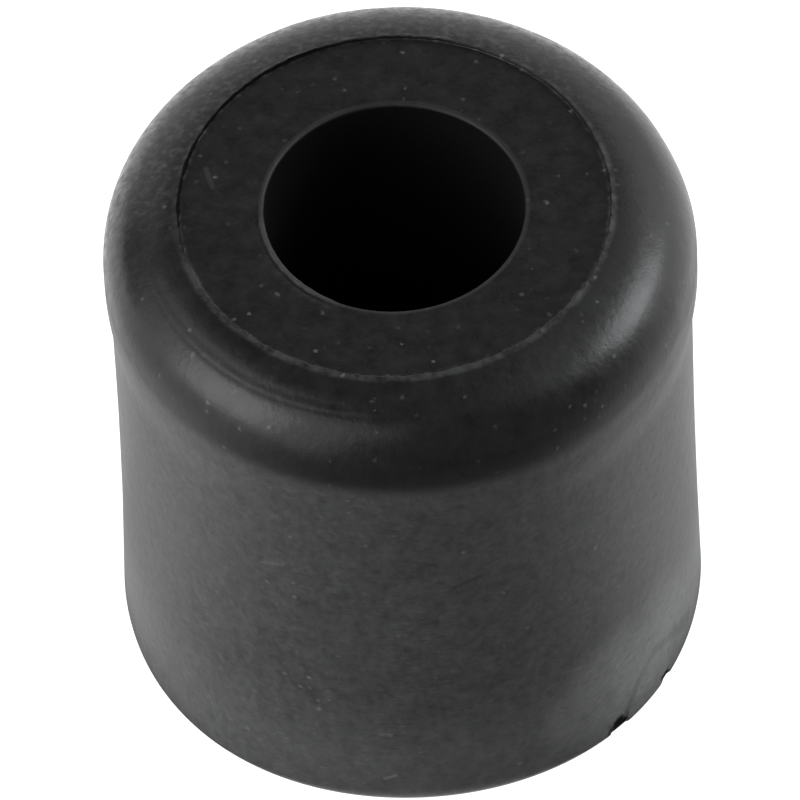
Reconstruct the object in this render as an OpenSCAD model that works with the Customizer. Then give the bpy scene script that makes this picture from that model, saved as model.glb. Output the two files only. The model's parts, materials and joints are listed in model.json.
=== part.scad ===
// Screw-on rubber foot, moulded in one piece.
// It stands on its wide mounting face, with the rounded ground end and its screw pocket upwards.
// The origin is the centre of the mounting face, and +Z runs along the axis to the pocket's mouth.

/* [Body] */
// Height from the mounting face to the top of the ground end
body_h = 38.7; // [32:0.1:60]
// Diameter of the mounting face
base_d = 38; // [37:0.1:46]
// Radius of the edge round the mounting face
base_edge_r = 0.6; // [0.2:0.1:2]
// Diameter of the waist, the narrowest part of the side
waist_d = 37; // [33:0.1:37.5]
// Length of the straight part of the waist
waist_len = 3.2; // [0.5:0.1:8]
// Length of the curve that leads from the waist out to the shoulder
neck_len = 4.5; // [2:0.1:8]

/* [Shoulder] */
// Diameter of the shoulder, below its rounded corner
shoulder_d = 37.6; // [37.1:0.1:42]
// Length of the straight side below the rounded corner
shoulder_len = 1.2; // [0.5:0.1:5]
// Radius of the rounded corner
corner_r = 4.7; // [1.5:0.1:5.5]
// Angle of the crown where it runs into the rounded corner
crown_angle = 30; // [24:1:45]
// Angle of the crown at the edge of the ground face
crown_start_angle = 6; // [0:1:18]

/* [Ground face] */
// Diameter of the flat ground face
face_d = 27.4; // [21:0.1:30]
// Step from the inner edge of the crown down to the flat ground face
face_step = 0.25; // [0.05:0.05:0.5]

/* [Screw pocket] */
// Diameter of the pocket for the screw's head and its washer
pocket_d = 16.5; // [9:0.1:20]
// Radius of the pocket's lip
lip_r = 0.3; // [0.1:0.1:1]
// Radius between the pocket's wall and its floor
pocket_floor_r = 1.5; // [0.2:0.1:3]
// Thickness of the rubber web under the screw's head
web_h = 10; // [3:0.1:20]
// Diameter of the clearance hole for the screw
screw_d = 5.5; // [3:0.1:8]

/* [Mould mark] */
// Width of the crease that the mould left along the top of the rounded corner
crease_w = 0.3; // [0.1:0.05:0.8]
// Angle at which the crease starts, from +X
crease_from = 186; // [0:1:359]
// Angle that the crease covers
crease_span = 76; // [10:1:300]

/* [Chipped rim] */
// Radius of the larger chip in the rim of the mounting face
large_chip_r = 0.85; // [0.2:0.05:1.5]
// Direction of the larger chip, from +X
large_chip_at = 313; // [0:1:359]
// Radius of the smaller chip in the rim of the mounting face
small_chip_r = 0.6; // [0.2:0.05:1.5]
// Direction of the smaller chip, from +X
small_chip_at = 328; // [0:1:359]
// Height of the chips' centres above the mounting face
chip_rise = 0.22; // [0.02:0.1:0.42]

/* [Hidden] */

arc_steps = 12;
curve_steps = 14;
round_fn = 96;

base_r = base_d / 2;
waist_r = waist_d / 2;
shoulder_r = shoulder_d / 2;
face_r = face_d / 2;
pocket_r = pocket_d / 2;
screw_r = screw_d / 2;
face_z = body_h - face_step;

// The crown is a shallow arc that leaves the ground face's edge and touches the rounded corner.
corner_x = shoulder_r - corner_r;
crease_r = corner_x + corner_r * sin(crown_angle);
crown_r = (crease_r - face_r) / (sin(crown_angle) - sin(crown_start_angle));
crown_x = face_r - crown_r * sin(crown_start_angle);
crown_z = body_h - crown_r * cos(crown_start_angle);
crease_z = crown_z + crown_r * cos(crown_angle);
corner_z = crease_z - corner_r * cos(crown_angle);

shoulder_z = corner_z - shoulder_len;
waist_top_z = shoulder_z - neck_len;
waist_bottom_z = waist_top_z - waist_len;

// Points along a round stretch, in the plane of the section.
// A stretch that carries on from the last one leaves out its first point.
function arc(centre, r, from, to, first = 0) = [
    for (i = [first : arc_steps])
        let (a = from + (to - from) * i / arc_steps)
        centre + r * [cos(a), sin(a)]
];

// The skirt bends outwards from the waist, more and more towards the mounting face.
function skirt_r(z) =
    waist_r + (base_r - waist_r) * pow((waist_bottom_z - z) / (waist_bottom_z - base_edge_r), 2);

skirt = [
    for (i = [1 : curve_steps])
        let (z = base_edge_r + (waist_bottom_z - base_edge_r) * i / curve_steps)
        [skirt_r(z), z]
];

// The neck swings out from the straight waist and back into the straight side of the shoulder.
neck = [
    for (i = [0 : curve_steps])
        let (t = i / curve_steps)
        [waist_r + (shoulder_r - waist_r) * (1 - cos(180 * t)) / 2, waist_top_z + neck_len * t]
];

base_edge = arc([base_r - base_edge_r, base_edge_r], base_edge_r, -90, 0);
rounded_corner = arc([corner_x, corner_z], corner_r, 0, 90 - crown_angle);
crown = arc([crown_x, crown_z], crown_r, 90 - crown_angle, 90 - crown_start_angle, first = 1);
ground_edge = [[face_r, face_z]];
lip = arc([pocket_r + lip_r, face_z - lip_r], lip_r, 90, 180);
pocket_floor = arc([pocket_r - pocket_floor_r, web_h + pocket_floor_r], pocket_floor_r, 0, -90);
screw_wall = [[screw_r, web_h], [screw_r, 0]];

section = concat(
    base_edge, skirt, neck, rounded_corner, crown, ground_edge, lip, pocket_floor, screw_wall
);

// A shallow groove with a round bottom, along part of the crown's outer edge.
module mould_crease() {
    rotate([0, 0, crease_from])
        rotate_extrude(angle = crease_span, $fn = round_fn)
            translate([crease_r, crease_z])
                circle(d = crease_w, $fn = 24);
}

// A bite out of the rim of the mounting face.
module rim_chip(r, direction) {
    rotate([0, 0, direction])
        translate([base_r, 0, chip_rise])
            sphere(r = r, $fn = 32);
}

module rubber_foot() {
    color([0.13, 0.13, 0.135])
        difference() {
            rotate_extrude($fn = round_fn) polygon(section);
            mould_crease();
            rim_chip(large_chip_r, large_chip_at);
            rim_chip(small_chip_r, small_chip_at);
        }
}

rubber_foot();
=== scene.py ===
"""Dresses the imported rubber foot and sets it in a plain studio.

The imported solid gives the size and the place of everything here. One lathed mesh takes the solid's place.
It has the same section, and adds what the mould left on the real foot: the flash round the ground face,
the fin on the pocket's lip, the crease along the corner, the chips in the rim and a side that is a little
out of true.
"""

from __future__ import annotations

import json
import logging
import math
from dataclasses import dataclass, field, replace
from enum import Enum
from functools import reduce
from typing import Any, Sequence

import bpy
import numpy as np
from mathutils import Matrix, Vector

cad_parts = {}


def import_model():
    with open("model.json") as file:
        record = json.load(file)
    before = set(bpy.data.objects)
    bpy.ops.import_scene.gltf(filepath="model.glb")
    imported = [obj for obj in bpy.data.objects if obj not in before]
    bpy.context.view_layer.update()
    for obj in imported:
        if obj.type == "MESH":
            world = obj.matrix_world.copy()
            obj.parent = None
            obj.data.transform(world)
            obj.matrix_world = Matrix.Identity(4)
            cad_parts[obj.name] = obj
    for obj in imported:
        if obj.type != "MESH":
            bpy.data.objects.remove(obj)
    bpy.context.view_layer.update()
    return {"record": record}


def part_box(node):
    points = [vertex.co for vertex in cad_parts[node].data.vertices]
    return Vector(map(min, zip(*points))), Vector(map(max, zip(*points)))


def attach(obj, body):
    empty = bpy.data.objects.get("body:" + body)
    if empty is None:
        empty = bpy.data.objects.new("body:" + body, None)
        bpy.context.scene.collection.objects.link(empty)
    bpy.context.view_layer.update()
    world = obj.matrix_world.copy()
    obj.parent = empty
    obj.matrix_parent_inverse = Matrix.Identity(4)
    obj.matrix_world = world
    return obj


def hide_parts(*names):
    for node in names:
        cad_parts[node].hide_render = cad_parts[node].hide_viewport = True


LOG = logging.getLogger("rubber_foot")
MM = 0.001
NODE = "rubber_foot"
BODY = "root"
RIGHT = math.pi / 2.0

Point = tuple[float, float]
Colour = tuple[float, float, float, float]


def grey(level: float, warmth: float = 0.0) -> Colour:
    """Returns an opaque grey of that linear level; warmth shifts it from blue towards red."""
    return (level * (1.0 + warmth), level, level * (1.0 - warmth), 1.0)


def even(steps: int) -> list[float]:
    """Returns shares from 0 to 1 in equal steps, both ends among them."""
    return [i / steps for i in range(steps + 1)]


def between(steps: int) -> list[float]:
    """Returns shares from 0 to 1 in equal steps, without the two ends."""
    return even(steps)[1:-1]


def stretch(start: float, step: float, count: int) -> list[float]:
    """Returns a number of shares in equal steps from the first one."""
    return [start + step * i for i in range(count)]


def spot_at(degrees: float, reach: float = 1.0, height: float = 0.0) -> Vector:
    """Returns the point that lies that far from the axis in that direction, and that high."""
    turn = math.radians(degrees)
    return Vector((reach * math.cos(turn), reach * math.sin(turn), height))


def turned_from(turn: np.ndarray, degrees: float) -> np.ndarray:
    """Returns how far each direction lies from the one in degrees, in radians from -pi to pi."""
    return (turn - math.radians(degrees) + math.pi) % (2.0 * math.pi) - math.pi


def bell(off: np.ndarray, width: float) -> np.ndarray:
    """Returns 1 in the middle of a ridge, and next to nothing at twice its width from there."""
    return np.exp(-((off / width) ** 2))


# How far along each stretch of the section its points lie, closer together where the form is fine
SKIRT_SHARES = [0.008, 0.02, 0.035, 0.055, 0.085, 0.13, 0.2, 0.29, 0.39, 0.5, 0.62, 0.75, 0.88, 1.0]
CORNER_SHARES = stretch(0.0, 0.05, 17) + stretch(0.85, 0.0125, 12)
CROWN_SHARES = stretch(0.0, 0.022, 14) + stretch(0.31, 0.058, 10) + [0.865, 0.89, 0.915, 0.94, 0.965, 0.985]
FACE_SHARES = [0.012, 0.03, 0.06, 0.12, 0.3, 0.6, 0.85, 0.92, 0.94, 0.96, 0.975, 0.99]

# How many equal steps each of its other stretches has
FOOT_EDGE_STEPS = 6
NECK_STEPS = 10
STRAIGHT_STEPS = 3
STEP_EDGE_STEPS = 5
STEP_FOOT_STEPS = 2
LIP_STEPS = 5
WALL_STEPS = 5
FLOOR_STEPS = 4
HOLE_EDGE_STEPS = 2


class ShaderKind(Enum):
    """The shader nodes that the finishes and the room use."""

    PLACE = "ShaderNodeTexCoord"
    SPLIT = "ShaderNodeSeparateXYZ"
    JOIN = "ShaderNodeCombineXYZ"
    MATH = "ShaderNodeMath"
    VECTOR_MATH = "ShaderNodeVectorMath"
    NOISE = "ShaderNodeTexNoise"
    CELLS = "ShaderNodeTexVoronoi"
    RANGE = "ShaderNodeMapRange"
    MIX = "ShaderNodeMix"
    BUMP = "ShaderNodeBump"
    SURFACE = "ShaderNodeBsdfPrincipled"
    MIX_SHADER = "ShaderNodeMixShader"
    OUTPUT = "ShaderNodeOutputMaterial"
    BACKGROUND = "ShaderNodeBackground"
    WORLD_OUTPUT = "ShaderNodeOutputWorld"


class Signal:
    """A number that varies over a surface: one socket of a shader graph, with Python's arithmetic."""

    def __init__(self, graph: "ShaderGraph", socket: bpy.types.NodeSocket) -> None:
        """Wraps a socket.

        Args:
            graph: the graph that the socket is in.
            socket: the output that carries the number.
        """
        self.graph = graph
        self.socket = socket

    def _math(self, operation: str, first: Any, second: Any = None) -> "Signal":
        """Adds one Math node.

        Args:
            operation: the node's operation.
            first: a Signal or a number.
            second: a Signal or a number, or None where the operation takes one value.

        Returns:
            What the node gives.
        """
        values = {0: first} if second is None else {0: first, 1: second}
        node = self.graph.add(ShaderKind.MATH, {"operation": operation}, values)
        return Signal(self.graph, node.outputs[0])

    def __add__(self, other: Any) -> "Signal":
        """Returns self + other."""
        return self._math("ADD", self, other)

    def __radd__(self, other: Any) -> "Signal":
        """Returns other + self."""
        return self._math("ADD", other, self)

    def __sub__(self, other: Any) -> "Signal":
        """Returns self - other."""
        return self._math("SUBTRACT", self, other)

    def __rsub__(self, other: Any) -> "Signal":
        """Returns other - self."""
        return self._math("SUBTRACT", other, self)

    def __mul__(self, other: Any) -> "Signal":
        """Returns self * other."""
        return self._math("MULTIPLY", self, other)

    def __rmul__(self, other: Any) -> "Signal":
        """Returns other * self."""
        return self._math("MULTIPLY", other, self)

    def __truediv__(self, other: Any) -> "Signal":
        """Returns self / other."""
        return self._math("DIVIDE", self, other)

    def __rtruediv__(self, other: Any) -> "Signal":
        """Returns other / self."""
        return self._math("DIVIDE", other, self)

    def __pow__(self, other: Any) -> "Signal":
        """Returns self to the power of other."""
        return self._math("POWER", self, other)

    def smallest(self, other: Any) -> "Signal":
        """Returns the smaller of the two."""
        return self._math("MINIMUM", self, other)

    def largest(self, other: Any) -> "Signal":
        """Returns the larger of the two."""
        return self._math("MAXIMUM", self, other)

    def away(self) -> "Signal":
        """Returns the value without its sign."""
        return self._math("ABSOLUTE", self)

    def ramp(self, low: float, high: float, top: float = 1.0) -> "Signal":
        """Rises smoothly from 0.

        Args:
            low: the value at which it is still 0.
            high: the value at which it has reached its top; below low, the ramp falls instead.
            top: the number that it rises to.

        Returns:
            The smoothed value.
        """
        turned = low > high
        ends = (high, low) if turned else (low, high)
        levels = (top, 0.0) if turned else (0.0, top)
        values = {"Value": self, "From Min": ends[0], "From Max": ends[1]}
        values.update({"To Min": levels[0], "To Max": levels[1]})
        node = self.graph.add(ShaderKind.RANGE, {"interpolation_type": "SMOOTHSTEP", "clamp": True}, values)
        return Signal(self.graph, node.outputs["Result"])


class ShaderGraph:
    """The nodes of one material, or of the room."""

    def __init__(self, tree: bpy.types.NodeTree) -> None:
        """Takes a node tree and empties it.

        Args:
            tree: the node tree of a material or a world.
        """
        self.tree = tree
        tree.nodes.clear()

    def add(self, kind: ShaderKind, settings: dict[str, Any], values: dict[Any, Any]) -> bpy.types.Node:
        """Adds a node, sets it up and then fills its sockets.

        Args:
            kind: which node.
            settings: the node's own settings, by name.
            values: a number, colour, Signal or socket for each input, by the input's name or number.

        Returns:
            The node.
        """
        node = self.tree.nodes.new(kind.value)
        for name, value in settings.items():
            setattr(node, name, value)
        for key, value in values.items():
            socket = node.inputs[key]
            if isinstance(value, Signal):
                value = value.socket
            if isinstance(value, bpy.types.NodeSocket):
                self.tree.links.new(value, socket)
            else:
                socket.default_value = value
        return node

    def vector(self, operation: str, first: Any, second: Any) -> bpy.types.Node:
        """Adds one Vector Math node.

        Args:
            operation: the node's operation.
            first: a vector or a socket that carries one.
            second: a vector or a socket that carries one.

        Returns:
            The node.
        """
        return self.add(ShaderKind.VECTOR_MATH, {"operation": operation}, {0: first, 1: second})

    def gap(self, first: Any, second: Any) -> Signal:
        """Returns how far two points are from each other, in metres."""
        return Signal(self, self.vector("DISTANCE", first, second).outputs["Value"])

    def towards(self, point: Any, degrees: float) -> Signal:
        """Returns 1 where a point lies in that direction from the axis, and -1 on the opposite side."""
        way = self.vector("NORMALIZE", point, Vector()).outputs[0]
        return Signal(self, self.vector("DOT_PRODUCT", way, spot_at(degrees)).outputs["Value"])

    def split(self, vector: bpy.types.NodeSocket) -> tuple[Signal, Signal, Signal]:
        """Takes a vector apart.

        Args:
            vector: a socket that carries a vector or a colour.

        Returns:
            Its three numbers.
        """
        node = self.add(ShaderKind.SPLIT, {}, {0: vector})
        return Signal(self, node.outputs[0]), Signal(self, node.outputs[1]), Signal(self, node.outputs[2])

    def mix_colour(self, share: Signal, first: Any, second: Any) -> bpy.types.NodeSocket:
        """Blends two colours.

        Args:
            share: 0 for the first colour, 1 for the second.
            first: a colour or a colour socket.
            second: a colour or a colour socket.

        Returns:
            The blended colour.
        """
        values = {"Factor": share, 6: first, 7: second}
        return self.add(ShaderKind.MIX, {"data_type": "RGBA"}, values).outputs[2]

    def close(self, shader: bpy.types.Node) -> None:
        """Makes a shader the material's surface."""
        self.add(ShaderKind.OUTPUT, {}, {"Surface": shader.outputs[0]})


def new_material(name: str) -> tuple[bpy.types.Material, ShaderGraph]:
    """Starts a material.

    Args:
        name: the material's name.

    Returns:
        The material and its empty graph.
    """
    material = bpy.data.materials.new(name)
    material.use_nodes = True
    return material, ShaderGraph(material.node_tree)


@dataclass(frozen=True)
class FootSection:
    """Half the foot's section, in millimetres, as the solid has it."""

    height: float
    base_radius: float
    screw_radius: float
    pocket_radius: float
    ground_z: float
    web_height: float
    base_edge: float = 0.6
    waist_radius: float = 18.5
    waist_length: float = 3.2
    neck_length: float = 4.5
    shoulder_radius: float = 18.8
    shoulder_length: float = 1.2
    corner_radius: float = 4.7
    crown_angle: float = math.radians(30.0)
    crown_start: float = math.radians(6.0)
    face_radius: float = 13.7
    step_edge: float = 0.06
    lip_radius: float = 0.3
    floor_radius: float = 1.5
    hole_edge: float = 0.15

    @classmethod
    def from_frame(cls, record: dict[str, Any]) -> "FootSection":
        """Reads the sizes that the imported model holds.

        Args:
            record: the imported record.

        Returns:
            The section.
        """
        low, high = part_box(NODE)
        mounts = {mount["name"]: mount for mount in record["mounts"]}
        screw = mounts["screw_hole"]["dims"]
        return cls(
            height=high.z / MM,
            base_radius=(high.x - low.x) / 2.0 / MM,
            screw_radius=screw["r_mm"],
            pocket_radius=mounts["pocket"]["dims"]["r_mm"],
            ground_z=mounts["ground_face"]["pos_m"][2] / MM,
            web_height=screw["length_mm"],
        )

    def fuller(self) -> "FootSection":
        """Returns the section of the fuller side, where the rubber came out of the mould rounder."""
        return replace(
            self,
            corner_radius=5.0,
            crown_angle=math.radians(34.0),
            shoulder_radius=19.0,
            shoulder_length=1.6,
            neck_length=4.1,
            waist_radius=18.65,
        )

    @property
    def crease_radius(self) -> float:
        """How far from the axis the crown runs into the rounded corner."""
        return self.shoulder_radius - self.corner_radius * (1.0 - math.sin(self.crown_angle))

    @property
    def crown_radius(self) -> float:
        """Radius of the shallow arc between the ground face and the rounded corner."""
        rise = math.sin(self.crown_angle) - math.sin(self.crown_start)
        return (self.crease_radius - self.face_radius) / rise

    @property
    def crown_centre(self) -> Point:
        """Centre of the crown's arc, as radius and height."""
        across = self.face_radius - self.crown_radius * math.sin(self.crown_start)
        return across, self.height - self.crown_radius * math.cos(self.crown_start)

    @property
    def corner_centre(self) -> Point:
        """Centre of the rounded corner, as radius and height."""
        drop = (self.crown_radius - self.corner_radius) * math.cos(self.crown_angle)
        return self.shoulder_radius - self.corner_radius, self.crown_centre[1] + drop

    @property
    def waist_top(self) -> float:
        """Height at which the neck meets the waist."""
        return self.corner_centre[1] - self.shoulder_length - self.neck_length

    @staticmethod
    def line(start: Point, end: Point, shares: Sequence[float]) -> list[Point]:
        """Points on a straight stretch.

        Args:
            start: where the stretch starts.
            end: where it ends.
            shares: how far along it each point lies, from 0 to 1.

        Returns:
            The points.
        """
        return [(start[0] + (end[0] - start[0]) * t, start[1] + (end[1] - start[1]) * t) for t in shares]

    @staticmethod
    def arc(centre: Point, radius: float, start: float, end: float, shares: Sequence[float]) -> list[Point]:
        """Points on a round stretch.

        Args:
            centre: the arc's centre.
            radius: its radius.
            start: the first angle, in radians, from the outward direction.
            end: the last angle.
            shares: how far along it each point lies, from 0 to 1.

        Returns:
            The points.
        """
        angles = [start + (end - start) * t for t in shares]
        return [(centre[0] + radius * math.cos(a), centre[1] + radius * math.sin(a)) for a in angles]

    def foot_edge(self) -> list[Point]:
        """Points round the edge of the mounting face."""
        centre = (self.base_radius - self.base_edge, self.base_edge)
        return self.arc(centre, self.base_edge, -RIGHT, 0.0, even(FOOT_EDGE_STEPS))

    def side(self) -> list[Point]:
        """Works out the side, from above the edge of the mounting face to the shoulder.

        Returns:
            Its points, from the bottom up.
        """
        foot, waist_foot = self.base_edge, self.waist_top - self.waist_length
        flare = self.base_radius - self.waist_radius
        rise = waist_foot - foot
        skirt = [(self.waist_radius + flare * (1.0 - t) ** 2, foot + rise * t) for t in SKIRT_SHARES]
        waist_ends = (self.waist_radius, waist_foot), (self.waist_radius, self.waist_top)
        waist = self.line(*waist_ends, between(STRAIGHT_STEPS))
        swell = self.shoulder_radius - self.waist_radius
        neck = []
        for share in even(NECK_STEPS):
            eased = (1.0 - math.cos(math.pi * share)) / 2.0
            neck.append((self.waist_radius + swell * eased, self.waist_top + self.neck_length * share))
        shoulder = self.line(neck[-1], (self.shoulder_radius, self.corner_centre[1]), between(STRAIGHT_STEPS))
        return skirt + waist + neck + shoulder

    def corner(self) -> list[Point]:
        """Points over the rounded corner, closer together near the crown."""
        return self.arc(self.corner_centre, self.corner_radius, 0.0, RIGHT - self.crown_angle, CORNER_SHARES)

    def top(self) -> list[Point]:
        """Works out the crown, the small step at its edge and the flat ground face.

        Returns:
            The points, from the rounded corner inwards.
        """
        bend = self.step_edge
        across, up = self.crown_centre
        last = math.asin((self.face_radius + bend - across) / self.crown_radius)
        angles = (RIGHT - self.crown_angle, RIGHT - last)
        crown = self.arc((across, up), self.crown_radius, *angles, CROWN_SHARES)
        edge_top = up + self.crown_radius * math.cos(last)
        edge_centre = (self.face_radius + bend, edge_top - bend)
        edge = self.arc(edge_centre, bend, RIGHT, math.pi, even(STEP_EDGE_STEPS))
        foot_centre = (self.face_radius - bend, self.ground_z + bend)
        foot = self.arc(foot_centre, bend, 0.0, -RIGHT, even(STEP_FOOT_STEPS))
        lip = (self.pocket_radius + self.lip_radius, self.ground_z)
        return crown + edge + foot + self.line(foot[-1], lip, FACE_SHARES)

    def pocket(self) -> list[Point]:
        """Works out the pocket and the screw hole.

        Returns:
            The points, from the pocket's lip down to the mounting face.
        """
        radius, lip, turn, rim = self.pocket_radius, self.lip_radius, self.floor_radius, self.hole_edge
        mouth = self.arc((radius + lip, self.ground_z - lip), lip, RIGHT, math.pi, even(LIP_STEPS))
        floor_centre = (radius - turn, self.web_height + turn)
        bottom = self.arc(floor_centre, turn, 0.0, -RIGHT, even(FLOOR_STEPS))
        wall = self.line(mouth[-1], bottom[0], between(WALL_STEPS))
        hole, bends = self.screw_radius + rim, even(HOLE_EDGE_STEPS)
        upper = self.arc((hole, self.web_height - rim), rim, RIGHT, math.pi, bends)
        lower = self.arc((hole, rim), rim, math.pi, 3.0 * RIGHT, bends)
        return mouth + wall + bottom + upper + lower

    def outline(self) -> np.ndarray:
        """Returns the whole closed outline, one row for each point, as radius and height."""
        return np.array(self.foot_edge() + self.side() + self.corner() + self.top() + self.pocket())

    def crease_index(self) -> int:
        """Returns which point of the outline lies where the corner runs into the crown."""
        return len(self.foot_edge()) + len(self.side()) + len(self.corner())


@dataclass(frozen=True)
class Arc:
    """A stretch of the round, in degrees from +X, with a soft change at both ends."""

    start: float
    end: float
    fade: float

    @property
    def middle(self) -> float:
        """Direction of its middle, in degrees."""
        return (self.start + self.end) / 2.0

    @property
    def half(self) -> float:
        """Half the angle that it covers, in degrees."""
        return (self.end - self.start) / 2.0

    def share(self, turn: np.ndarray) -> np.ndarray:
        """How far each direction lies in the stretch.

        Args:
            turn: directions, in radians.

        Returns:
            1 inside and 0 outside.
        """
        off = np.abs(turned_from(turn, self.middle))
        soft = np.clip((math.radians(self.half) - off) / math.radians(self.fade) + 0.5, 0.0, 1.0)
        return soft * soft * (3.0 - 2.0 * soft)

    def lay(self, graph: ShaderGraph, plan: bpy.types.NodeSocket) -> Signal:
        """Finds which points of a surface lie in the stretch.

        Args:
            graph: the material's nodes.
            plan: the point in the plan of the ground end.

        Returns:
            1 inside and 0 outside.
        """
        outer, inner = self.half + self.fade / 2.0, self.half - self.fade / 2.0
        towards = graph.towards(plan, self.middle)
        return towards.ramp(math.cos(math.radians(outer)), math.cos(math.radians(inner)))


@dataclass(frozen=True)
class Chip:
    """A small bite out of the rim of the mounting face, in degrees and millimetres."""

    direction: float
    radius: float


class Curve(Enum):
    """The uneven curves round the foot: each one's number and how many waves its parts have in one turn."""

    FLASH = (1, (9, 17, 29, 43, 71, 97, 131))
    FIN = (2, (19, 41, 67))
    CREASE = (3, (2, 3, 7))
    RIPPLE = (4, (3, 5, 8, 13))


@dataclass(frozen=True)
class MouldMarks:
    """What the mould and the years left on the foot, in millimetres and degrees.

    The flash is a ragged thread of rubber round the ground face, and the fin is a thin one on the pocket's
    lip with a groove beside it. The crease runs along the top of the corner, with a shallow hollow inside it.
    The base is a little oval and four-sided, and the ground face drifts off the axis.
    """

    section: FootSection
    flash_height: float = 0.07
    flash_width: float = 0.18
    flash_offset: float = 0.04
    flash_level: float = 0.45
    flash_ragged: float = 0.6
    flash_most: float = 1.4
    fin_height: float = 0.15
    fin_width: float = 0.17
    fin_offset: float = 0.14
    fin_ragged: float = 0.25
    groove_depth: float = 0.05
    groove_offset: float = 0.55
    crease_depth: float = 0.018
    crease_width: float = 0.19
    crease_wander: float = 0.08
    hollow_depth: float = 0.024
    hollow_width: float = 0.35
    hollow_offset: float = 0.55
    ripple: float = 0.012
    ripple_twist: float = 0.05
    ripple_pitch: float = 0.35
    ripple_phase: float = 1.0
    ripple_start: float = 0.6
    ripple_fade: float = 2.0
    lobe: float = 0.13
    oval: float = 0.1
    lobe_height: float = 5.0
    lobe_reach: float = 1.0
    drift: float = 0.13
    drift_radius: float = 17.0
    drift_fade: float = 3.0
    drift_rise: float = 12.0
    chip_rise: float = 0.22
    chip_depth: float = 0.12
    seed: int = 500
    rear_share: float = 0.55
    full_side: Arc = Arc(-70.0, 20.0, 30.0)
    full_rear: Arc = Arc(20.0, 160.0, 30.0)
    crease: Arc = Arc(184.0, 264.0, 22.0)
    fin: Arc = Arc(184.0, 240.0, 9.0)
    # Where the flash gets a painted highlight, on the front and the right, where its edge catches the light
    flash_highlight: Arc = Arc(196.0, 384.0, 24.0)
    # Where the step's wall round the ground face gets painted shade: in full on the rear left, in part on the
    # right
    full_step_shade: Arc = Arc(104.0, 192.0, 24.0)
    shaded_step: Arc = Arc(-30.0, 52.0, 24.0)
    grainy_rear: Arc = Arc(35.0, 182.0, 40.0)
    chips: tuple[Chip, ...] = (Chip(313.0, 0.85), Chip(328.0, 0.6))

    def uneven(self, turn: np.ndarray, curve: Curve) -> np.ndarray:
        """An uneven curve round the axis that closes on itself.

        Args:
            turn: directions, in radians.
            curve: which curve.

        Returns:
            Values from about -1 to 1.
        """
        number, waves = curve.value
        random = np.random.default_rng(self.seed + number)
        total = np.zeros_like(turn)
        for count in waves:
            total += np.cos(count * turn + random.uniform(0.0, 2.0 * math.pi)) * random.uniform(0.5, 1.0)
        return total / math.sqrt(len(waves))

    def raised(self, radius: np.ndarray, height: np.ndarray, turn: np.ndarray) -> np.ndarray:
        """How far the flash and the fin stand up from the ground end.

        Args:
            radius: distance from the axis.
            height: height above the mounting face.
            turn: direction, in radians.

        Returns:
            The change of height.
        """
        s = self.section
        on_top = height > s.ground_z - s.lip_radius
        ragged = self.flash_level + self.flash_ragged * self.uneven(turn, Curve.FLASH)
        ridge = bell(radius - s.face_radius - self.flash_offset, self.flash_width)
        flash = self.flash_height * np.clip(ragged, 0.0, self.flash_most) * ridge
        fin = self.fin_height * bell(radius - s.pocket_radius - self.fin_offset, self.fin_width)
        fin -= self.groove_depth * bell(radius - s.pocket_radius - self.groove_offset, self.fin_width)
        edge = 1.0 - self.fin_ragged * (1.0 - self.uneven(turn, Curve.FIN))
        return (flash + fin * self.fin.share(turn) * edge) * on_top

    def sunk(self, along: np.ndarray, radius: np.ndarray, height: np.ndarray, turn: np.ndarray) -> np.ndarray:
        """How far each point lies below its true place, along the surface's own normal.

        Args:
            along: distance past the crease, along the outline.
            radius: distance from the axis.
            height: height above the mounting face.
            turn: direction, in radians.

        Returns:
            The depth, which is negative where the surface stands proud.
        """
        off = along - self.crease_wander * self.uneven(turn, Curve.CREASE)
        crease = self.crease_depth * bell(off, self.crease_width)
        crease += self.hollow_depth * bell(off - self.hollow_offset, self.hollow_width)
        wave = self.uneven(turn + height * self.ripple_twist, Curve.RIPPLE)
        wave *= np.sin(height * self.ripple_pitch + self.ripple_phase)
        wave *= np.clip((height - self.ripple_start) / self.ripple_fade, 0.0, 1.0)
        outside = radius > self.section.pocket_radius + self.section.lip_radius
        return (self.crease.share(turn) * crease + self.ripple * wave) * outside

    def bitten(self, radius: np.ndarray, height: np.ndarray, turn: np.ndarray) -> np.ndarray:
        """How far the rim is cut back towards the axis by its chips.

        Args:
            radius: distance from the axis.
            height: height above the mounting face.
            turn: direction, in radians.

        Returns:
            The cut.
        """
        cut = np.zeros_like(radius)
        base = self.section.base_radius
        for chip in self.chips:
            across = turned_from(turn, chip.direction) * base
            room = chip.radius**2 - across**2 - (height - self.chip_rise) ** 2
            reach = base - np.sqrt(np.clip(room, 0.0, None))
            cut = np.maximum(cut, np.where(room > 0.0, radius - reach, 0.0))
        return np.clip(cut, 0.0, self.chip_depth)

    def fullness(self, turn: np.ndarray) -> np.ndarray:
        """How far the fuller section takes over in each direction, from 0 to 1."""
        return np.maximum(self.full_side.share(turn), self.rear_share * self.full_rear.share(turn))

    def squared(self, radius: np.ndarray, height: np.ndarray, turn: np.ndarray) -> np.ndarray:
        """How far the base stands out of round, which makes it a little oval and four-sided.

        Args:
            radius: distance from the axis.
            height: height above the mounting face.
            turn: direction, in radians.

        Returns:
            The change of radius.
        """
        low = np.clip(1.0 - height / self.lobe_height, 0.0, 1.0) ** 2
        outside = radius > self.section.base_radius - self.lobe_reach
        return (self.oval * np.cos(2.0 * turn) - self.lobe * np.cos(4.0 * turn)) * low * outside

    def shifted(self, radius: np.ndarray, height: np.ndarray) -> np.ndarray:
        """How far the ground face and the pocket sit off the axis, along X."""
        inner = np.clip((self.drift_radius - radius) / self.drift_fade, 0.0, 1.0)
        upper = np.clip((height - self.section.web_height) / self.drift_rise, 0.0, 1.0)
        return -self.drift * inner * upper


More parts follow.
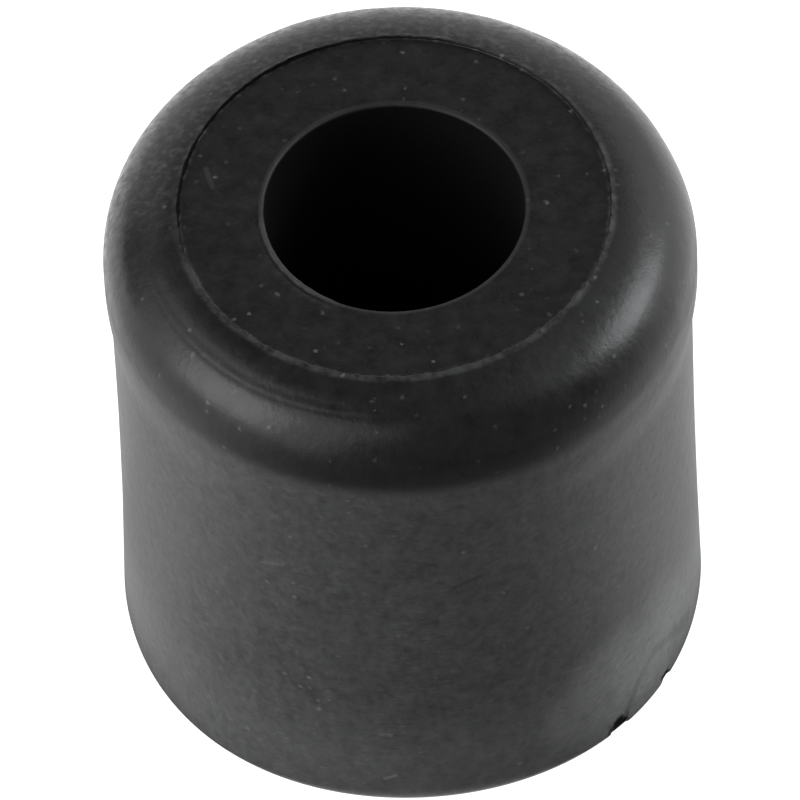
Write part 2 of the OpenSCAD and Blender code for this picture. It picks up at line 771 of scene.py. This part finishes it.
@dataclass(frozen=True)
class Spot:
    """A place on the foot: its direction in degrees, and its height on the side or its radius on the end."""

    direction: float
    reach: float

    def on_wall(self, radius: float) -> Vector:
        """Returns its place on the upright wall of that radius on which the side's marks are laid out."""
        return spot_at(self.direction, radius * MM, self.reach * MM)

    def in_plan(self) -> Vector:
        """Returns its place in the plan of the ground end."""
        return spot_at(self.direction, self.reach * MM)


@dataclass(frozen=True)
class Mark:
    """Dust, a scratch, a dark nick or painted shade along a dent: a dot, or a stroke between two places.

    The width, in millimetres, is how far it reaches from its middle, and the core is the share of that which
    has all of the shade. The shade is above 0 for a light mark and below 0 for a dark one, and 1 at most.
    """

    start: Spot
    width: float
    shade: float
    end: Spot | None = None
    core: float = 0.3

    @property
    def spots(self) -> list[Spot]:
        """Its start and, for a stroke, its end."""
        return [self.start] if self.end is None else [self.start, self.end]

    def lay(self, graph: ShaderGraph, space: Any, points: Sequence[Vector]) -> Signal:
        """How much of the mark lies at each point of a surface.

        Args:
            graph: the material's nodes.
            space: the point that is tested.
            points: the places of its spots, in metres.

        Returns:
            From 0 outside to the mark's shade in the middle.
        """
        nearest: Any = points[0]
        if len(points) > 1:
            line = points[1] - points[0]
            offset = graph.vector("SUBTRACT", space, points[0]).outputs[0]
            along = graph.vector("DOT_PRODUCT", offset, line / line.length_squared).outputs["Value"]
            values = {0: line, "Scale": Signal(graph, along).largest(0.0).smallest(1.0)}
            reach = graph.add(ShaderKind.VECTOR_MATH, {"operation": "SCALE"}, values).outputs[0]
            nearest = graph.vector("ADD", reach, points[0]).outputs[0]
        width = self.width * MM
        return graph.gap(space, nearest).ramp(width, width * self.core, abs(self.shade))


SIDE_MARKS = (
    Mark(Spot(280.0, 26.0), 0.24, 0.3),
    Mark(Spot(308.8, 20.9), 0.27, 0.35),
    Mark(Spot(308.0, 22.8), 0.2, 0.1),
    Mark(Spot(311.2, 21.8), 0.2, 0.1),
    Mark(Spot(292.5, 16.3), 0.2, 0.25),
    Mark(Spot(289.5, 2.4), 0.26, 0.35),
    Mark(Spot(290.2, 1.1), 0.2, 0.2),
    Mark(Spot(239.8, 20.9), 0.24, 0.2),
    Mark(Spot(233.8, 4.0), 0.25, 0.3),
    Mark(Spot(224.8, 4.3), 0.22, 0.2),
    Mark(Spot(266.5, 17.8), 0.22, 0.18),
    Mark(Spot(262.6, 2.6), 0.2, 0.4, Spot(264.8, 3.0)),
    Mark(Spot(262.0, 7.3), 0.16, 0.18, Spot(264.4, 7.4)),
    Mark(Spot(205.5, 1.8), 0.22, 0.25),
    Mark(Spot(248.0, 12.1), 0.23, 0.35),
    Mark(Spot(246.0, 10.9), 0.22, 0.25),
    Mark(Spot(248.1, 11.0), 0.18, 0.2),
    Mark(Spot(249.8, 9.9), 0.18, 0.22),
    Mark(Spot(249.8, 9.0), 0.22, 0.3),
    Mark(Spot(252.0, 10.2), 0.2, 0.18),
    Mark(Spot(239.0, 22.8), 0.22, 0.12, Spot(243.6, 23.4)),
    Mark(Spot(220.6, 17.0), 0.14, 0.1, Spot(221.4, 15.0)),
    Mark(Spot(221.4, 15.0), 0.16, 0.18, Spot(223.6, 14.4)),
    Mark(Spot(292.5, 27.7), 0.22, 0.15),
    Mark(Spot(331.5, 34.5), 0.22, 0.2),
    Mark(Spot(278.0, 22.5), 0.24, -0.35, Spot(283.6, 23.2)),
    # Painted shade: a dark streak along a shallow dent that runs above the rim on the right
    Mark(Spot(339.5, 2.3), 0.9, -0.3, Spot(333.0, 3.5)),
    Mark(Spot(333.0, 3.5), 0.6, -0.2, Spot(325.0, 4.6)),
    Mark(Spot(325.0, 4.6), 0.5, -0.16, Spot(319.0, 3.4)),
    Mark(Spot(319.0, 3.4), 0.5, -0.25, Spot(314.5, 1.1)),
)

TOP_MARKS = (
    Mark(Spot(108.5, 11.2), 0.2, 0.12),
    Mark(Spot(177.0, 14.7), 0.22, 0.16),
    Mark(Spot(315.5, 10.7), 0.22, 0.14),
    Mark(Spot(244.0, 12.5), 0.2, 0.25),
    Mark(Spot(218.2, 16.8), 0.22, 0.2),
    Mark(Spot(58.5, 13.75), 0.2, 0.35),
    Mark(Spot(162.5, 12.55), 0.24, 0.06, Spot(169.0, 11.8)),
    Mark(Spot(158.5, 13.2), 0.2, 0.12),
)


@dataclass(frozen=True)
class Fade:
    """A soft change over a distance in millimetres: 0 up to its start, and 1 where it is full."""

    start: float
    full: float

    def over(self, distance: Signal, line: float = 0.0) -> Signal:
        """Returns the change over a distance in metres, measured from a line in millimetres."""
        return distance.ramp((line + self.start) * MM, (line + self.full) * MM)


@dataclass(frozen=True)
class Strength:
    """How strongly a texture shows on the ground end, and what the side adds to that."""

    end: float
    side: float

    def over(self, side: Signal) -> Signal:
        """Returns the strength at each point, from how far it belongs to the side."""
        return self.end + self.side * side


@dataclass(frozen=True)
class Mottle:
    """One soft noise: a blotch's width in millimetres, its finer layers, and how flat it lies."""

    size: float
    detail: float
    roughness: float = 0.5
    flat: float = 1.0

    def lay(self, graph: ShaderGraph, point: bpy.types.NodeSocket) -> Signal:
        """Lays the noise over a surface.

        Args:
            graph: the material's nodes.
            point: the point on the object, in metres.

        Returns:
            The noise, from -0.5 to 0.5.
        """
        place = graph.vector("MULTIPLY", point, Vector((1.0, 1.0, self.flat))).outputs[0]
        values = {"Vector": place, "Scale": 1.0 / (self.size * MM)}
        values.update({"Detail": self.detail, "Roughness": self.roughness})
        return Signal(graph, graph.add(ShaderKind.NOISE, {}, values).outputs[0]) - 0.5


@dataclass(frozen=True)
class Dust:
    """Fine dust: one ragged speck in each cell of a loose net, most of them faint and a few bright.

    The cell is in millimetres. A speck's edge and core are shares of the cell.
    """

    cell: float = 0.95
    edge: float = 0.2
    core: float = 0.06
    ragged: float = 0.3
    grain: Mottle = Mottle(0.25, 0.0)
    least: float = 0.3
    faint: float = 0.09
    bright: float = 0.16
    rarity: float = 8.0

    def lay(self, graph: ShaderGraph, point: bpy.types.NodeSocket) -> Signal:
        """Strews the dust over a surface.

        Args:
            graph: the material's nodes.
            point: the point on the object, in metres.

        Returns:
            How light the dust makes each point, from 0 to 1.
        """
        values = {"Vector": point, "Scale": 1.0 / (self.cell * MM)}
        cells = graph.add(ShaderKind.CELLS, {"feature": "F1"}, values)
        chance = graph.split(cells.outputs["Color"])[0].ramp(self.least, 1.0)
        off = Signal(graph, cells.outputs["Distance"]) + self.grain.lay(graph, point) * self.ragged
        return off.ramp(self.edge, self.core) * (chance * self.faint + chance**self.rarity * self.bright)


@dataclass(frozen=True)
class Places:
    """Where a point of the surface lies: the sockets that the finish reads.

    The face radius is about the ground face's own centre. The wall is the point pushed onto an upright wall
    of the shoulder's radius, and the plan is the point without its height.
    """

    point: bpy.types.NodeSocket
    height: Signal
    face_radius: Signal
    wall: bpy.types.NodeSocket
    plan: bpy.types.NodeSocket


@dataclass(frozen=True)
class Texture:
    """The unevenness of the rubber's own surface, each from -0.5 to 0.5."""

    blotch: Signal
    fleck: Signal
    dash: Signal


@dataclass(frozen=True)
class Areas:
    """Which part of the foot a point belongs to, each from 0 to 1, where shade is painted, and the rear
    crown's grain.
    """

    side: Signal
    dull: Signal
    low: Signal
    pale_patch: Signal
    flash: Signal
    flash_highlight: Signal
    lip: Signal
    fin: Signal
    painted_shade: Signal
    grain: Signal


@dataclass(frozen=True)
class RubberFinish:
    """Black moulded rubber: smooth and dark on the ground end, rougher and greyer down the side.

    Tones are linear greys. An edge lies at the height or radius of the part of the foot that it belongs to,
    and a band reaches that far to each side of its line, both in millimetres. The finish also paints shade
    into the pocket, the chips, the step's wall and a dent above the rim, and a highlight on the flash.
    """

    section: FootSection
    marks: MouldMarks
    dust: Dust = Dust()
    # Tones
    smooth: float = 0.0055
    chalky: float = 0.062
    # A lighter patch low on the right side, near the chips
    pale_patch_tone: float = 0.1
    # Lighter towards the bottom of the side
    lower_tone: float = 0.037
    # The tone of the painted highlight on the flash, where its edge catches the light
    flash: float = 0.028
    fin: float = 0.03
    # The near-black tone of the painted shade in the pocket, the chips and the step's wall
    hollow: float = 0.004
    dusty: float = 0.3
    darkest: float = 0.002
    warmth: float = -0.012
    # Roughness, and what each area adds to it
    smooth_roughness: float = 0.30
    chalky_roughness: float = 0.50
    shade_roughness: float = 0.9
    blotch_roughness: float = 0.2
    pale_patch_roughness: float = 0.1
    dust_roughness: float = 0.2
    lip_roughness: float = 0.3
    flash_roughness: float = 0.15
    grain_roughness: float = -0.5
    specular: float = 0.5
    shade_specular: float = 0.1
    # Texture
    blotch: Mottle = Mottle(1.3, 3.0, 0.72, 0.75)
    fleck: Mottle = Mottle(0.5, 1.0, 0.6, 0.75)
    dash: Mottle = Mottle(0.7, 0.0, flat=4.0)
    cloud: Mottle = Mottle(5.0, 2.0)
    blotch_tone: Strength = Strength(0.016, 0.06)
    fleck_tone: Strength = Strength(0.004, 0.045)
    fleck_relief: Strength = Strength(0.3, 0.9)
    blotch_relief: float = 2.4
    relief_depth: float = 0.02
    relief_strength: float = 0.7
    dash_range: Point = (0.16, 0.3)
    dash_tone: float = 0.24
    flash_range: Point = (-0.14, 0.12)
    grain_tone: float = 0.09
    # Edges and bands
    side_edge: Fade = Fade(-4.6, -6.2)
    side_wander: float = 0.8
    dull_edge: Fade = Fade(-3.4, -5.4)
    low_edge: Fade = Fade(12.0, 3.0)
    end_edge: Fade = Fade(-6.2, -5.2)
    pocket_edge: Fade = Fade(0.14, 0.02)
    mouth_edge: Fade = Fade(0.0, -0.3)
    hole_edge: Fade = Fade(0.05, 0.4)
    rim_edge: Fade = Fade(-2.2, -1.2)
    crown_edge: Fade = Fade(0.1, 0.5)
    flash_line: float = 0.15
    flash_band: Fade = Fade(0.42, 0.1)
    lip_line: float = 0.18
    lip_band: Fade = Fade(0.26, 0.08)
    # The band of painted shade on the step's wall, how far its edge wanders, and its share on the right
    step_band: Fade = Fade(0.1, 0.04)
    step_wander: float = 0.3
    step_shade: float = 0.5
    # The lighter patch low on the right side: its middle, its reach and how its edge wanders
    pale_patch_spot: Spot = Spot(320.0, 5.5)
    pale_patch_band: Fade = Fade(9.0, 1.5)
    pale_patch_wander: float = 9.0
    # Painted shade in the chips, as shares of a chip's radius, and of its reach for the core
    chip_shade_rise: float = 0.75
    chip_shade_reach: float = 1.25
    chip_shade_core: float = 0.4

    def places(self, graph: ShaderGraph) -> Places:
        """Reads the point on the object in the ways that the finish needs.

        Args:
            graph: the material's nodes.

        Returns:
            The places.
        """
        point = graph.add(ShaderKind.PLACE, {}, {}).outputs["Object"]
        x, y, z = graph.split(point)
        away = (x * x + y * y) ** 0.5
        face_x = x + self.marks.drift * MM
        face_radius = (face_x * face_x + y * y) ** 0.5
        push = self.section.shoulder_radius * MM / away
        wall = graph.add(ShaderKind.JOIN, {}, {0: x * push, 1: y * push, 2: z}).outputs[0]
        plan = graph.add(ShaderKind.JOIN, {}, {0: x, 1: y}).outputs[0]
        return Places(point, z, face_radius, wall, plan)

    def texture(self, graph: ShaderGraph, places: Places) -> Texture:
        """Returns the three noises of the rubber."""
        return Texture(*(noise.lay(graph, places.point) for noise in (self.blotch, self.fleck, self.dash)))

    def specks(self, graph: ShaderGraph, places: Places) -> tuple[Signal, Signal]:
        """Lays out the dust, the scratches, the nicks and the painted shade along the dent above the rim.

        Args:
            graph: the material's nodes.
            places: where the point lies.

        Returns:
            How light and how dark the marks make each point, from 0 to 1.
        """
        wall_radius = self.section.shoulder_radius
        on_end = self.end_edge.over(places.height, self.section.height)
        laid = []
        for mark in SIDE_MARKS:
            spots = [spot.on_wall(wall_radius) for spot in mark.spots]
            laid.append((mark.shade, mark.lay(graph, places.wall, spots)))
        for mark in TOP_MARKS:
            spots = [spot.in_plan() for spot in mark.spots]
            laid.append((mark.shade, mark.lay(graph, places.plan, spots) * on_end))
        light = [self.dust.lay(graph, places.point)] + [amount for shade, amount in laid if shade > 0.0]
        dark = [amount for shade, amount in laid if shade < 0.0]
        return reduce(Signal.largest, light), reduce(Signal.largest, dark)

    def chip_shade(self, graph: ShaderGraph, places: Places, fleck: Signal) -> Signal:
        """Finds where shade is painted into the chips in the rim, ragged at its edge.

        Args:
            graph: the material's nodes.
            places: where the point lies.
            fleck: fine noise that makes the edge ragged.

        Returns:
            1 in the chips and 0 elsewhere.
        """
        bites = []
        for chip in self.marks.chips:
            rise = self.marks.chip_rise + self.chip_shade_rise * chip.radius
            centre = Spot(chip.direction, rise).on_wall(self.section.shoulder_radius)
            reach = chip.radius * MM * self.chip_shade_reach
            off = graph.gap(places.wall, centre) + fleck * reach
            bites.append(off.ramp(reach, reach * self.chip_shade_core))
        return reduce(Signal.largest, bites)

    def areas(self, graph: ShaderGraph, places: Places, texture: Texture) -> Areas:
        """Finds the parts of the foot that look different from one another.

        Args:
            graph: the material's nodes.
            places: where the point lies.
            texture: the rubber's noises, which make some of the edges uneven.

        Returns:
            The areas.
        """
        s, marks, plan = self.section, self.marks, places.plan
        height, radius = places.height, places.face_radius
        side = self.side_edge.over(height + texture.blotch * (self.side_wander * MM), s.height)
        end = 1.0 - side
        rim = self.rim_edge.over(radius, s.base_radius)
        # Painted shade over the inside of the pocket and the screw hole, from just below the mouth
        inside = self.pocket_edge.over(radius, s.pocket_radius) * self.mouth_edge.over(height, s.ground_z)
        inside = inside * self.hole_edge.over(height)
        flash = self.flash_band.over((radius - (s.face_radius + self.flash_line) * MM).away()) * end
        lip = self.lip_band.over((radius - (s.pocket_radius + self.lip_line) * MM).away()) * end
        # Painted shade on the wall of the small step round the ground face, strongest on the rear left
        off = (radius - s.face_radius * MM).away() + texture.blotch * (self.step_wander * MM)
        shaded = marks.shaded_step.lay(graph, plan) * self.step_shade
        step = self.step_band.over(off) * end * marks.full_step_shade.lay(graph, plan).largest(shaded)
        # The lighter patch low on the right side
        cloud = self.cloud.lay(graph, places.point) * (self.pale_patch_wander * MM)
        pale_patch = self.pale_patch_band.over(graph.gap(places.wall, self.pale_patch_spot.on_wall(s.shoulder_radius)) + cloud)
        crown = marks.grainy_rear.lay(graph, plan) * end * self.crown_edge.over(radius, s.face_radius)
        return Areas(
            side=side,
            dull=self.dull_edge.over(height, s.height),
            low=self.low_edge.over(height),
            pale_patch=pale_patch * side * rim,
            flash=flash,
            flash_highlight=flash * marks.flash_highlight.lay(graph, plan),
            lip=lip,
            fin=lip * marks.fin.lay(graph, plan),
            # Painted shade in the chips, the pocket and the step's wall
            painted_shade=(self.chip_shade(graph, places, texture.fleck) * rim).largest(inside).largest(step),
            grain=crown * texture.fleck,
        )

    def tone(self, areas: Areas, texture: Texture, light: Signal, dark: Signal) -> Signal:
        """Works out the rubber's grey.

        Args:
            areas: which parts of the foot the point belongs to.
            texture: the rubber's noises.
            light: how light the marks make the point.
            dark: how dark they make it.

        Returns:
            The linear grey.
        """
        side = areas.side
        tone = self.smooth + (self.chalky - self.smooth) * side
        tone = tone + self.pale_patch_tone * areas.pale_patch + self.lower_tone * areas.low + self.fin * areas.fin
        # Painted highlight on the flash, where its edge catches the light
        tone = tone + areas.flash_highlight * self.flash * texture.blotch.ramp(*self.flash_range)
        tone = tone + texture.blotch * self.blotch_tone.over(side)
        tone = tone + texture.fleck * self.fleck_tone.over(side)
        low, high = self.dash_range
        pale_dash = texture.dash.ramp(low, high, self.dash_tone)
        dark_dash = texture.dash.ramp(-low, -high, self.dash_tone)
        tone = tone * (1.0 + (pale_dash - dark_dash) * side)
        tone = ((tone + areas.grain * self.grain_tone) * (1.0 - dark)).largest(self.darkest)
        return tone + (self.dusty - tone) * light

    def roughness(self, areas: Areas, texture: Texture, light: Signal) -> Signal:
        """Works out how rough the rubber is.

        Args:
            areas: which parts of the foot the point belongs to.
            texture: the rubber's noises.
            light: how much dust lies on the point.

        Returns:
            The roughness.
        """
        rough = self.smooth_roughness + (self.chalky_roughness - self.smooth_roughness) * areas.dull
        rough = rough + texture.blotch * self.blotch_roughness + light * self.dust_roughness
        rough = rough + areas.pale_patch * self.pale_patch_roughness + areas.lip * self.lip_roughness
        return rough + areas.flash * self.flash_roughness + areas.grain * self.grain_roughness

    def build(self) -> bpy.types.Material:
        """Makes the material.

        Returns:
            The material, which reads only the point on the object.
        """
        material, graph = new_material("moulded_black_rubber")
        places = self.places(graph)
        texture = self.texture(graph, places)
        areas = self.areas(graph, places, texture)
        light, dark = self.specks(graph, places)
        tone = self.tone(areas, texture, light, dark)
        relief = texture.blotch * self.blotch_relief + texture.fleck * self.fleck_relief.over(areas.side)
        values = {"Strength": self.relief_strength, "Distance": self.relief_depth * MM, "Height": relief}
        bump = graph.add(ShaderKind.BUMP, {}, values)
        values = {
            "Base Color": graph.mix_colour(tone, grey(0.0), grey(1.0, self.warmth)),
            "Roughness": self.roughness(areas, texture, light),
            "Normal": bump.outputs[0],
            "Specular IOR Level": self.specular,
        }
        rubber = graph.add(ShaderKind.SURFACE, {}, values)
        # A near-black, dull surface: painted shade for the pocket, the chips and the step's wall
        values = {
            "Base Color": grey(self.hollow),
            "Roughness": self.shade_roughness,
            "Specular IOR Level": self.shade_specular,
        }
        shade_surface = graph.add(ShaderKind.SURFACE, {}, values)
        values = {0: areas.painted_shade, 1: rubber.outputs[0], 2: shade_surface.outputs[0]}
        graph.close(graph.add(ShaderKind.MIX_SHADER, {}, values))
        return material


@dataclass
class RubberFoot:
    """The foot: one lathed and marked mesh in its rubber finish."""

    section: FootSection
    steps_round: int = 720
    marks: MouldMarks = field(init=False)

    def __post_init__(self) -> None:
        """Takes the marks from the section."""
        self.marks = MouldMarks(self.section)

    @staticmethod
    def normals(outline: np.ndarray) -> np.ndarray:
        """Works out the outward directions of a closed outline.

        Args:
            outline: its points, one row each.

        Returns:
            A direction of length 1 at each point.
        """
        along = np.roll(outline, -1, axis=0) - np.roll(outline, 1, axis=0)
        out = np.stack([along[:, 1], -along[:, 0]], axis=1)
        return out / np.linalg.norm(out, axis=1, keepdims=True)

    def vertices(self) -> np.ndarray:
        """Places every point of the mesh.

        Returns:
            The points, in metres, by outline point and then by direction.
        """
        marks = self.marks
        true, full = self.section.outline(), self.section.fuller().outline()
        steps = np.hypot(*np.diff(true, axis=0).T)
        travel = np.concatenate([[0.0], np.cumsum(steps)])
        along = (travel - travel[self.section.crease_index()])[:, None]
        turn = (np.arange(self.steps_round) * (2.0 * math.pi / self.steps_round))[None, :]
        weight = marks.fullness(turn)
        radius = true[:, :1] + (full - true)[:, :1] * weight
        height = true[:, 1:] + (full - true)[:, 1:] * weight
        turn, along = turn + 0.0 * radius, along + 0.0 * radius
        out = self.normals(true)
        sunk = marks.sunk(along, radius, height, turn)
        lift = marks.raised(radius, height, turn)
        radius = radius - marks.bitten(radius, height, turn)
        radius = radius + marks.squared(radius, height, turn)
        shift = marks.shifted(radius, height)
        new_radius = radius - sunk * out[:, :1]
        new_height = height - sunk * out[:, 1:] + lift
        points = np.stack([new_radius * np.cos(turn) + shift, new_radius * np.sin(turn), new_height], axis=-1)
        return points.reshape(-1, 3) * MM

    def faces(self, count: int) -> np.ndarray:
        """Joins the points into four-sided faces that close both ways.

        Args:
            count: how many points the outline has.

        Returns:
            Four point numbers for each face.
        """
        steps = self.steps_round
        row, column = np.meshgrid(np.arange(count), np.arange(steps), indexing="ij")
        up, on = (row + 1) % count, (column + 1) % steps
        corners = [row * steps + column, row * steps + on, up * steps + on, up * steps + column]
        return np.stack(corners, axis=-1).reshape(-1, 4)

    def build(self) -> bpy.types.Object:
        """Makes the mesh, dresses it and lets it stand for the solid.

        Returns:
            The finished piece.
        """
        points = self.vertices()
        mesh = bpy.data.meshes.new("moulded_foot")
        mesh.from_pydata(points.tolist(), [], self.faces(len(points) // self.steps_round).tolist())
        mesh.polygons.foreach_set("use_smooth", [True] * len(mesh.polygons))
        mesh.materials.append(RubberFinish(self.section, self.marks).build())
        mesh.update()
        piece = bpy.data.objects.new("moulded_foot", mesh)
        bpy.context.scene.collection.objects.link(piece)
        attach(piece, BODY)
        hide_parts(NODE)
        LOG.info("%s has %d faces", piece.name, len(mesh.polygons))
        return piece


@dataclass(frozen=True)
class Paper:
    """A matt finish for the floor, with some light of its own."""

    name: str
    tone: float
    glow: float
    roughness: float = 0.9

    def build(self) -> bpy.types.Material:
        """Makes the material.

        Returns:
            The material.
        """
        material, graph = new_material(self.name)
        values = {
            "Base Color": grey(self.tone),
            "Roughness": self.roughness,
            "Specular IOR Level": 0.0,
            "Emission Color": grey(1.0),
            "Emission Strength": self.glow,
        }
        graph.close(graph.add(ShaderKind.SURFACE, {}, values))
        return material


@dataclass(frozen=True)
class SoftBox:
    """A soft box: where it stands from the foot and how wide and high it looks, in degrees, and its light."""

    name: str
    azimuth: float
    elevation: float
    wide: float
    high: float
    glow: float
    distance: float = 1.0
    tint: float = 0.0

    def build(self, aim: Vector) -> bpy.types.Object:
        """Hangs the box so that it faces the foot.

        Args:
            aim: the point that it faces, in metres.

        Returns:
            The lamp.
        """
        data = bpy.data.lights.new(self.name, "AREA")
        data.shape = "RECTANGLE"
        data.size = 2.0 * self.distance * math.tan(math.radians(self.wide / 2.0))
        data.size_y = 2.0 * self.distance * math.tan(math.radians(self.high / 2.0))
        data.energy = self.glow * math.pi * data.size * data.size_y
        data.color = grey(1.0, self.tint)[:3]
        elevation = math.radians(self.elevation)
        way = spot_at(self.azimuth, math.cos(elevation), math.sin(elevation))
        lamp = bpy.data.objects.new(self.name, data)
        lamp.location = aim + way * self.distance
        lamp.rotation_mode = "QUATERNION"
        lamp.rotation_quaternion = (-way).to_track_quat("-Z", "Y")
        bpy.context.scene.collection.objects.link(lamp)
        LOG.info("%s hangs %.0f degrees up", lamp.name, self.elevation)
        return lamp


@dataclass(frozen=True)
class DarkCard:
    """A flat glowing card that keeps the pale floor out of the reflections in the front of the foot, and out
    of the camera's sight.

    It is darkest in the middle and as pale as the floor at both ends. Far from the foot its dark middle lies
    more to the right, and close to the foot all of it is darker, a painted contact shadow. Its directions are
    in degrees, its inner and outer edge and its lift in metres, and its fades in millimetres from the axis.
    """

    middle: float = 269.0
    far_middle: float = 284.0
    half: float = 104.0
    near: float = 19.1 * MM
    far: float = 2.5
    lift: float = 0.4 * MM
    bend: Fade = Fade(40.0, 120.0)
    shadow: Fade = Fade(19.1, 20.8)
    near_share: float = 0.35
    dark: float = 0.16
    pale: float = 1.4
    steps: int = 32

    def build_paper(self) -> bpy.types.Material:
        """Makes the card's finish, which gives its own light and takes none.

        Returns:
            The material.
        """
        material, graph = new_material("shaded_card")
        point = graph.add(ShaderKind.PLACE, {}, {}).outputs["Object"]
        reach = graph.gap(point, Vector())
        close, distant = graph.towards(point, self.middle), graph.towards(point, self.far_middle)
        across = close + (distant - close) * self.bend.over(reach)
        level = self.pale + (self.dark - self.pale) * across.ramp(math.cos(math.radians(self.half)), 1.0)
        level = level * (self.near_share + (1.0 - self.near_share) * self.shadow.over(reach))
        values = {
            "Base Color": grey(0.0),
            "Roughness": 1.0,
            "Specular IOR Level": 0.0,
            "Emission Color": graph.mix_colour(level, grey(0.0), grey(1.0)),
            "Emission Strength": 1.0,
        }
        graph.close(graph.add(ShaderKind.SURFACE, {}, values))
        return material

    def build(self) -> bpy.types.Object:
        """Cuts the card.

        Returns:
            The card.
        """
        turns = [self.middle + self.half * (2.0 * t - 1.0) for t in even(self.steps)]
        points = [spot_at(turn, reach, self.lift) for reach in (self.near, self.far) for turn in turns]
        count = len(turns)
        faces = [(i, i + 1, count + i + 1, count + i) for i in range(count - 1)]
        mesh = bpy.data.meshes.new("dark_card")
        mesh.from_pydata(points, [], faces)
        mesh.materials.append(self.build_paper())
        card = bpy.data.objects.new("dark_card", mesh)
        card.visible_camera = False
        card.visible_shadow = False
        bpy.context.scene.collection.objects.link(card)
        LOG.info("%s lies before the foot", card.name)
        return card


@dataclass(frozen=True)
class Room:
    """Even light from all round, with a pale wall behind the foot; its angles are in degrees."""

    dim: float = 0.186
    wall: float = 0.765
    wall_azimuth: float = 69.4
    wall_half: float = 66.0
    wall_top: float = 38.0
    soft: float = 5.0

    def build(self) -> bpy.types.World:
        """Makes the room's light.

        Returns:
            The world.
        """
        world = bpy.data.worlds.new("room")
        world.use_nodes = True
        graph = ShaderGraph(world.node_tree)
        way = graph.add(ShaderKind.PLACE, {}, {}).outputs["Generated"]
        x, y, z = graph.split(way)
        turn = math.radians(self.wall_azimuth)
        facing = (x * math.cos(turn) + y * math.sin(turn)) / (1.0 - z * z) ** 0.5
        ends = [math.cos(math.radians(self.wall_half + side * self.soft)) for side in (1.0, -1.0)]
        tops = [math.sin(math.radians(self.wall_top + side * self.soft)) for side in (1.0, -1.0)]
        share = facing.ramp(ends[0], ends[1]) * z.ramp(tops[0], tops[1])
        colour = graph.mix_colour(share, grey(self.dim), grey(self.dim + self.wall))
        light = graph.add(ShaderKind.BACKGROUND, {}, {"Color": colour, "Strength": 1.0})
        graph.add(ShaderKind.WORLD_OUTPUT, {}, {"Surface": light.outputs[0]})
        bpy.context.scene.world = world
        return world


@dataclass(frozen=True)
class Studio:
    """The floor, the light and the camera, in metres, with the lens and its sensor in millimetres."""

    height: float
    floor_side: float = 6.0
    floor_gap: float = 0.02 * MM
    floor: Paper = Paper("pale_floor", 0.35, 1.1)
    boxes: tuple[SoftBox, ...] = (
        SoftBox("left_box", 204.0, 26.0, 34.2, 38.5, 2.49),
        SoftBox("left_fill", 204.0, 30.1, 82.7, 67.3, 0.95),
        SoftBox("right_box", 10.0, 31.4, 26.8, 24.4, 4.73, tint=-0.02),
        SoftBox("right_fill", 16.9, 35.9, 64.2, 72.1, 0.4, tint=-0.02),
    )
    lens: float = 540.0
    sensor: float = 36.0
    clip: Point = (0.05, 20.0)
    distance: float = 0.7754
    elevation: float = math.radians(52.54)
    roll: float = math.radians(2.63)
    aim: tuple[float, float, float] = (-0.33 * MM, 0.0, 18.34 * MM)

    def build_floor(self) -> bpy.types.Object:
        """Lays the pale floor just under the foot.

        Returns:
            The floor.
        """
        half, top = self.floor_side / 2.0, -self.floor_gap
        corners = [(-half, -half, top), (half, -half, top), (half, half, top), (-half, half, top)]
        mesh = bpy.data.meshes.new("floor")
        mesh.from_pydata(corners, [], [(0, 1, 2, 3)])
        mesh.materials.append(self.floor.build())
        floor = bpy.data.objects.new("floor", mesh)
        bpy.context.scene.collection.objects.link(floor)
        LOG.info("%s is %.0f m wide", floor.name, self.floor_side)
        return floor

    def build_camera(self) -> bpy.types.Object:
        """Stands the camera where the photograph was taken from.

        Returns:
            The camera.
        """
        data = bpy.data.cameras.new("camera")
        data.sensor_width = self.sensor
        data.lens = self.lens
        data.clip_start, data.clip_end = self.clip
        camera = bpy.data.objects.new("camera", data)
        level, rise = math.cos(self.elevation), math.sin(self.elevation)
        ahead, up, right = Vector((0.0, level, -rise)), Vector((0.0, rise, level)), Vector((1.0, 0.0, 0.0))
        cosine, sine = math.cos(self.roll), math.sin(self.roll)
        across, above = cosine * right - sine * up, sine * right + cosine * up
        turned = Matrix((across, above, -ahead)).transposed().to_4x4()
        camera.matrix_world = Matrix.Translation(Vector(self.aim) - ahead * self.distance) @ turned
        bpy.context.scene.collection.objects.link(camera)
        bpy.context.scene.camera = camera
        return camera

    def build(self) -> None:
        """Sets up everything round the foot."""
        self.build_camera()
        self.build_floor()
        Room().build()
        for box in self.boxes:
            box.build(Vector((0.0, 0.0, self.height)))
        DarkCard().build()
        bpy.context.scene.view_settings.view_transform = "Standard"


def main() -> None:
    """Loads the frame, and builds the foot and its studio."""
    logging.basicConfig(level=logging.INFO, format="%(name)s: %(message)s")
    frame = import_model()
    section = FootSection.from_frame(frame["record"])
    Studio(section.height * MM).build()
    RubberFoot(section).build()
    bpy.context.view_layer.update()


if __name__ == "__main__":
    main()
